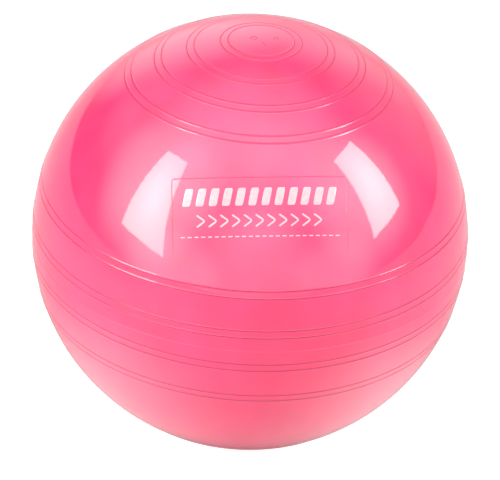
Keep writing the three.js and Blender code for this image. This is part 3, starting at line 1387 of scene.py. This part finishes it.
@dataclass
class MouldedLines:
    """Fine raised lines that the mould leaves: its insert's edge round the print, and marks at the pole.

    A stroke at the pole is given by the (x, y) of its middle and how far its upper end leans to the right.
    """

    panel: Panel
    pole: Panel
    half_width: float = 93.5 * MILLIMETRE
    top: float = 50.5 * MILLIMETRE
    bottom: float = -34.0 * MILLIMETRE
    corner: float = 3.0 * MILLIMETRE
    edge_fade: float = 14 * MILLIMETRE
    # A faint painted shade along the insert's edge line.
    edge_shade: float = 0.1
    edge_points: int = 180
    ring_middle: tuple[float, float] = (-8.0 * MILLIMETRE, 5.0 * MILLIMETRE)
    ring_radius: float = 3.6 * MILLIMETRE
    ring_fade: float = 0.2 * MILLIMETRE
    ring_points: int = 49
    strokes: tuple[tuple[float, float, float], ...] = (
        (0.0 * MILLIMETRE, -9.0 * MILLIMETRE, -1.6 * MILLIMETRE),
        (15.0 * MILLIMETRE, 3.0 * MILLIMETRE, 1.8 * MILLIMETRE),
        (18.5 * MILLIMETRE, 3.0 * MILLIMETRE, 0.6 * MILLIMETRE),
    )
    stroke_rise: float = 4.2 * MILLIMETRE
    stroke_fade: float = 0.8 * MILLIMETRE
    stroke_points: int = 12
    # A strong painted shade that draws the pole marks as dark lines.
    mark_shade: float = 0.7
    line_width: float = 1.0 * MILLIMETRE
    line_height: float = 0.4 * MILLIMETRE
    sides: int = 10

    def bead(self, surface: Surface, panel: Panel, path: Array, fade: float, painted_shade: float) -> None:
        """Add a raised line along a path.

        Its section is an ellipse as wide as the line, whose top stands the line's height above the skin and
        whose lower half is under it. Near its ends it fades: at the arc s from an end its size is the whole
        size times min(1, s / fade), so that it closes in a point.

        Args:
            surface: the surface that it is added to.
            panel: the board that the path is drawn on.
            path: board points of shape (points, 2).
            fade: the distance over which each end fades.
            painted_shade: the share of painted shade in the line, from 0 to 1.
        """
        _, across = along_and_across(path)
        reached = arc_lengths(path)
        size = np.clip(np.minimum(reached, reached[-1] - reached) / fade, 0.0, 1.0)[:, None]
        angle = np.linspace(0.0, 2 * np.pi, self.sides, endpoint=False)[None, :]
        shift = size * np.cos(angle) * self.line_width / 2
        flat = path[:, None, :] + across[:, None, :] * shift[..., None]
        lift = size * np.sin(angle) * self.line_height
        surface.add_grid(panel.on_ball(flat, lift), closed=True, depth=painted_shade)

    def insert_edge(self, surface: Surface) -> None:
        """Add the insert's edge: up the left side, over the top and down the right side, with round corners.

        Args:
            surface: the surface that it is added to.
        """
        corners = [
            (-self.half_width, self.bottom, 0.0),
            (-self.half_width, self.top, self.corner),
            (self.half_width, self.top, self.corner),
            (self.half_width, self.bottom, 0.0),
        ]
        path = resampled(rounded(corners, steps=8), self.edge_points)
        self.bead(surface, self.panel, path, self.edge_fade, self.edge_shade)

    def pole_marks(self, surface: Surface) -> None:
        """Add the small marks near the pole: a ring, and straight strokes beside it.

        Args:
            surface: the surface that it is added to.
        """
        angle = np.linspace(0.0, 2 * np.pi, self.ring_points)
        round_it = np.stack([np.cos(angle), np.sin(angle)], axis=1)
        ring = np.array(self.ring_middle) + self.ring_radius * round_it
        self.bead(surface, self.pole, ring, self.ring_fade, self.mark_shade)
        share = np.linspace(-1.0, 1.0, self.stroke_points)[:, None]
        for x, y, lean in self.strokes:
            stroke = np.array([x, y]) + share * np.array([lean, self.stroke_rise])
            self.bead(surface, self.pole, stroke, self.stroke_fade, self.mark_shade)

    def build(self, material: bpy.types.Material) -> bpy.types.Object:
        """Make the lines as one piece.

        Args:
            material: the skin's own vinyl.

        Returns:
            The lines.
        """
        surface = Surface()
        self.insert_edge(surface)
        self.pole_marks(surface)
        piece = surface.to_object("moulded_lines", material)
        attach(piece, "ball")
        return piece


# ---------------------------------------------------------------------------------------------------------
# The studio
# ---------------------------------------------------------------------------------------------------------


def bearing(azimuth: float, elevation: float) -> Array:
    """The unit vector towards a bearing: azimuth 0 is in front of the ball, and 90 is on its right."""
    return direction(elevation, azimuth)


@dataclass(frozen=True)
class BoxGlow(Finish):
    """The lit cloth of a soft box: brighter in its middle than at its edge, and dark at the back."""

    name: str
    edge: float
    middle: float
    colour: Colour = (1.0, 0.955, 0.87)
    fall_reach: float = 0.62

    def lay(self, nodes: Nodes) -> None:
        """Lay out the nodes: the light falls in a smooth step from the middle of the cloth outwards.

        The distance from the middle is in shares of the cloth's sides, and the step ends at the fall's reach.

        Args:
            nodes: the material's nodes.
        """
        spot = nodes.add("ShaderNodeVectorMath", {1: (0.5, 0.5, 0.0)}, operation="DISTANCE")
        nodes.join(nodes.add("ShaderNodeTexCoord"), "UV", spot, 0)
        limits = {"From Min": 0.0, "From Max": self.fall_reach, "To Min": self.middle, "To Max": self.edge}
        fall = nodes.add("ShaderNodeMapRange", limits, interpolation_type="SMOOTHSTEP")
        nodes.join(spot, "Value", fall, "Value")
        front = nodes.add("ShaderNodeMath", {0: 1.0}, operation="SUBTRACT")
        nodes.join(nodes.add("ShaderNodeNewGeometry"), "Backfacing", front, 1)
        strength = nodes.add("ShaderNodeMath", operation="MULTIPLY")
        nodes.join(fall, "Result", strength, 0)
        nodes.join(front, "Value", strength, 1)
        emission = nodes.add("ShaderNodeEmission", {"Color": (*self.colour, 1.0)})
        nodes.join(strength, "Value", emission, "Strength")
        nodes.join(emission, "Emission", nodes.add("ShaderNodeOutputMaterial"), "Surface")


@dataclass(frozen=True)
class SoftBox:
    """A soft box: the bearings of the four corners of its cloth from the ball, its distance and its light."""

    name: str
    lower_left: tuple[float, float]
    lower_right: tuple[float, float]
    upper_right: tuple[float, float]
    upper_left: tuple[float, float]
    glow: float
    edge_share: float = 0.75
    distance: float = 1.6
    steps: int = 8

    def build(self, ball: Ball) -> bpy.types.Object:
        """Stretch the cloth between its corners, facing the ball.

        The point at the shares u and v is (1-u)(1-v) of the lower left corner, u(1-v) of the lower right,
        uv of the upper right and (1-u)v of the upper left.

        Args:
            ball: the ball that it lights.

        Returns:
            The cloth.
        """
        corners = (self.lower_left, self.lower_right, self.upper_right, self.upper_left)
        low_left, low_right, high_right, high_left = (bearing(*corner) * self.distance for corner in corners)
        share = np.linspace(0.0, 1.0, self.steps + 1)
        u, v = share[None, :, None], share[:, None, None]
        lower = (1 - u) * (1 - v) * low_left + u * (1 - v) * low_right
        points = lower + u * v * high_right + (1 - u) * v * high_left
        quads = grid_quads(self.steps + 1, self.steps + 1, closed=False)[:, ::-1]
        mesh = bpy.data.meshes.new(self.name)
        mesh.from_pydata((points + ball.centre).reshape(-1, 3).tolist(), [], quads.tolist())
        spots = np.stack(np.broadcast_arrays(u[..., 0], v[..., 0]), axis=-1).reshape(-1, 2)
        uv = mesh.uv_layers.new(name="cloth")
        uv.data.foreach_set("uv", spots[quads.ravel()].astype(np.float32).ravel())
        mesh.materials.append(BoxGlow(self.name, self.edge_share * self.glow, self.glow).build())
        box = bpy.data.objects.new(self.name, mesh)
        box.visible_camera = False
        bpy.context.scene.collection.objects.link(box)
        return box


@dataclass(frozen=True)
class SkyGlow:
    """A broad soft patch of light far from the ball, such as a lit wall, with its angles in degrees.

    It is full within its core and fades to nothing at its spread.
    """

    azimuth: float
    elevation: float
    spread: float
    strength: float
    core: float = 0.0

    def lay(self, nodes: Nodes, where: bpy.types.Node) -> bpy.types.Node:
        """Lay out the patch: its strength times a smooth step of the cosine of the angle from its middle.

        Args:
            nodes: the world's nodes.
            where: the node that gives the direction.

        Returns:
            The node whose result is the patch's light.
        """
        middle = bearing(self.azimuth, self.elevation)
        facing = nodes.add("ShaderNodeVectorMath", {1: middle}, operation="DOT_PRODUCT")
        nodes.join(where, "Generated", facing, 0)
        limits = {
            "From Min": math.cos(math.radians(self.spread)),
            "From Max": math.cos(math.radians(self.core)),
            "To Max": self.strength,
        }
        patch = nodes.add("ShaderNodeMapRange", limits, interpolation_type="SMOOTHSTEP")
        nodes.join(facing, "Value", patch, "Value")
        return patch


@dataclass
class Studio:
    """The floor, the lights and the camera round the ball.

    The camera's distance is in radii of the ball, and the shares are of the picture's width.
    """

    ball: Ball
    boxes: tuple[SoftBox, ...] = (
        SoftBox("left_soft_box", (-71.1, 13.3), (-44.4, 10.0), (-57.8, 52.1), (-76.3, 49.2), glow=12.5),
        SoftBox("right_soft_box", (62.8, 14.0), (84.6, 16.9), (89.6, 49.2), (66.2, 51.3), glow=12.0),
    )
    glows: tuple[SkyGlow, ...] = (
        SkyGlow(azimuth=0, elevation=90, spread=45, strength=1.3, core=10),
        SkyGlow(azimuth=-15, elevation=60, spread=45, strength=0.8),
        SkyGlow(azimuth=30, elevation=55, spread=40, strength=0.6),
        SkyGlow(azimuth=-68, elevation=34, spread=40, strength=2.4, core=10),
        SkyGlow(azimuth=70, elevation=33, spread=36, strength=1.9, core=8),
        SkyGlow(azimuth=-120, elevation=40, spread=30, strength=0.6),
        SkyGlow(azimuth=140, elevation=20, spread=34, strength=0.6),
        SkyGlow(azimuth=-42, elevation=-4, spread=32, strength=2.6),
        SkyGlow(azimuth=42, elevation=0, spread=28, strength=1.9),
        SkyGlow(azimuth=0, elevation=14, spread=35, strength=1.7),
        SkyGlow(azimuth=-165, elevation=20, spread=28, strength=0.8),
        SkyGlow(azimuth=180, elevation=15, spread=42, strength=0.7),
    )
    backdrop: float = 1.0
    floor_reach: float = 8.0
    camera_azimuth: float = -3.0
    camera_elevation: float = 31.1
    camera_roll: float = 3.37
    camera_distance: float = 13.0
    outline_share: float = 0.436
    drop_share: float = 0.0168
    sensor: float = 36.0

    def floor(self) -> None:
        """Lay a wide square sheet at the height that the ball stands on."""
        reach = self.floor_reach
        corners = [(-reach, -reach, 0.0), (reach, -reach, 0.0), (reach, reach, 0.0), (-reach, reach, 0.0)]
        mesh = bpy.data.meshes.new("floor")
        mesh.from_pydata(corners, [], [(0, 1, 2, 3)])
        grey = (0.42, 0.42, 0.42)
        mesh.materials.append(WhiteSheet("white_sheet", grey, patch_glow=0.95, overexposure=0.85).build())
        floor = bpy.data.objects.new("floor", mesh)
        bpy.context.scene.collection.objects.link(floor)

    def sky(self) -> None:
        """Make the world: the sum of the soft patches as a light, and a plain white backdrop to look at."""
        world = bpy.data.worlds.new("studio")
        bpy.context.scene.world = world
        world.use_nodes = True
        world.node_tree.nodes.clear()
        nodes = Nodes(world.node_tree)
        where = nodes.add("ShaderNodeTexCoord")
        total = nodes.add("ShaderNodeValue")
        total.outputs["Value"].default_value = 0.0
        for glow in self.glows:
            added = nodes.add("ShaderNodeMath", operation="ADD")
            nodes.join(glow.lay(nodes, where), "Result", added, 0)
            nodes.join(total, "Value", added, 1)
            total = added
        seen = nodes.add("ShaderNodeMix", {SECOND_NUMBER: self.backdrop}, data_type="FLOAT")
        nodes.join(nodes.add("ShaderNodeLightPath"), "Is Camera Ray", seen, MIX_SHARE)
        nodes.join(total, "Value", seen, FIRST_NUMBER)
        background = nodes.add("ShaderNodeBackground", {"Color": WHITE})
        nodes.join(seen, MIXED_NUMBER, background, "Strength")
        nodes.join(background, "Background", nodes.add("ShaderNodeOutputWorld"), "Surface")

    def camera(self) -> None:
        """Set the camera up at its bearing, rolled so that the ball's axis leans to the right.

        The lens makes the ball's outline, whose half angle is asin(1 / distance), take outline_share of the
        picture's width on each side of its middle, so it is sensor outline_share sqrt(distance^2 - 1).
        """
        data = bpy.data.cameras.new("camera")
        data.sensor_width = self.sensor
        data.sensor_fit = "HORIZONTAL"
        data.lens = self.sensor * self.outline_share * math.sqrt(self.camera_distance**2 - 1)
        data.shift_y = -self.drop_share
        data.clip_end = 100.0
        camera = bpy.data.objects.new("camera", data)
        towards = Vector(bearing(self.camera_azimuth, self.camera_elevation))
        facing = towards.to_track_quat("Z", "Y").to_matrix().to_4x4()
        roll = Matrix.Rotation(math.radians(self.camera_roll), 4, "Z")
        middle = Vector(self.ball.centre)
        place = Matrix.Translation(middle + self.camera_distance * self.ball.radius * towards)
        camera.matrix_world = place @ facing @ roll
        bpy.context.scene.collection.objects.link(camera)
        bpy.context.scene.camera = camera

    def build(self) -> None:
        """Set up the whole studio."""
        bpy.context.scene.view_settings.view_transform = "Standard"
        self.floor()
        self.sky()
        for box in self.boxes:
            box.build(self.ball)
        self.camera()


# ---------------------------------------------------------------------------------------------------------
# The whole object
# ---------------------------------------------------------------------------------------------------------


def report(piece: bpy.types.Object) -> None:
    """Log a finished piece's name and number of faces."""
    LOG.info("%s: %d faces", piece.name, len(piece.data.polygons))


def plug_axis(ball: Ball) -> Axis:
    """Find the valve's axis, which the plug slides along.

    Args:
        ball: the ball, whose middle the axis starts from.

    Returns:
        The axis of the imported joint.
    """
    joint = next(joint for joint in frame["joints"] if joint["name"] == "plug_pull")
    return Axis(ball, np.array(joint["axis"], dtype=float))


def main() -> None:
    """Build the studio and every piece of the ball, and log each piece's number of faces."""
    logging.basicConfig(level=logging.INFO, format="%(name)s %(message)s")
    ball = Ball.from_frame()
    axis = plug_axis(ball)
    sizes = ValveSizes()
    front = Panel(ball, latitude=33.0, tilt=2.7)
    pole = Panel(ball, latitude=89.2, longitude=12.0)
    Studio(ball).build()
    skin_vinyl = SoftVinyl(
        "pink_vinyl",
        body=(0.92, 0.031, 0.145),
        deep=(0.80, 0.014, 0.095),
        # The darkest colour is the painted shade along the rib crests.
        shade_colour=(0.24, 0.008, 0.055),
    ).build()
    seat_vinyl = SoftVinyl(
        "bush_vinyl",
        body=(0.80, 0.20, 0.32),
        deep=(0.74, 0.15, 0.27),
        # The painted shade colour, which the seat's mesh never calls for.
        shade_colour=(0.7, 0.12, 0.24),
        gloss=0.3,
    ).build()
    plug_plastic = HardPlastic("white_plastic", (0.88, 0.875, 0.85)).build()
    ink = PrintInk("print_ink", ink=(0.80, 0.36, 0.40), thin=(0.80, 0.29, 0.33)).build()
    report(RibbedSkin(ball, axis, sizes).build(skin_vinyl))
    report(MouldedLines(front, pole).build(skin_vinyl))
    report(FrontPrint(front).build(ink))
    report(ValveSeat(axis, sizes).build(seat_vinyl))
    report(ValvePlug(axis, sizes).build(plug_plastic))


if __name__ == "__main__":
    main()
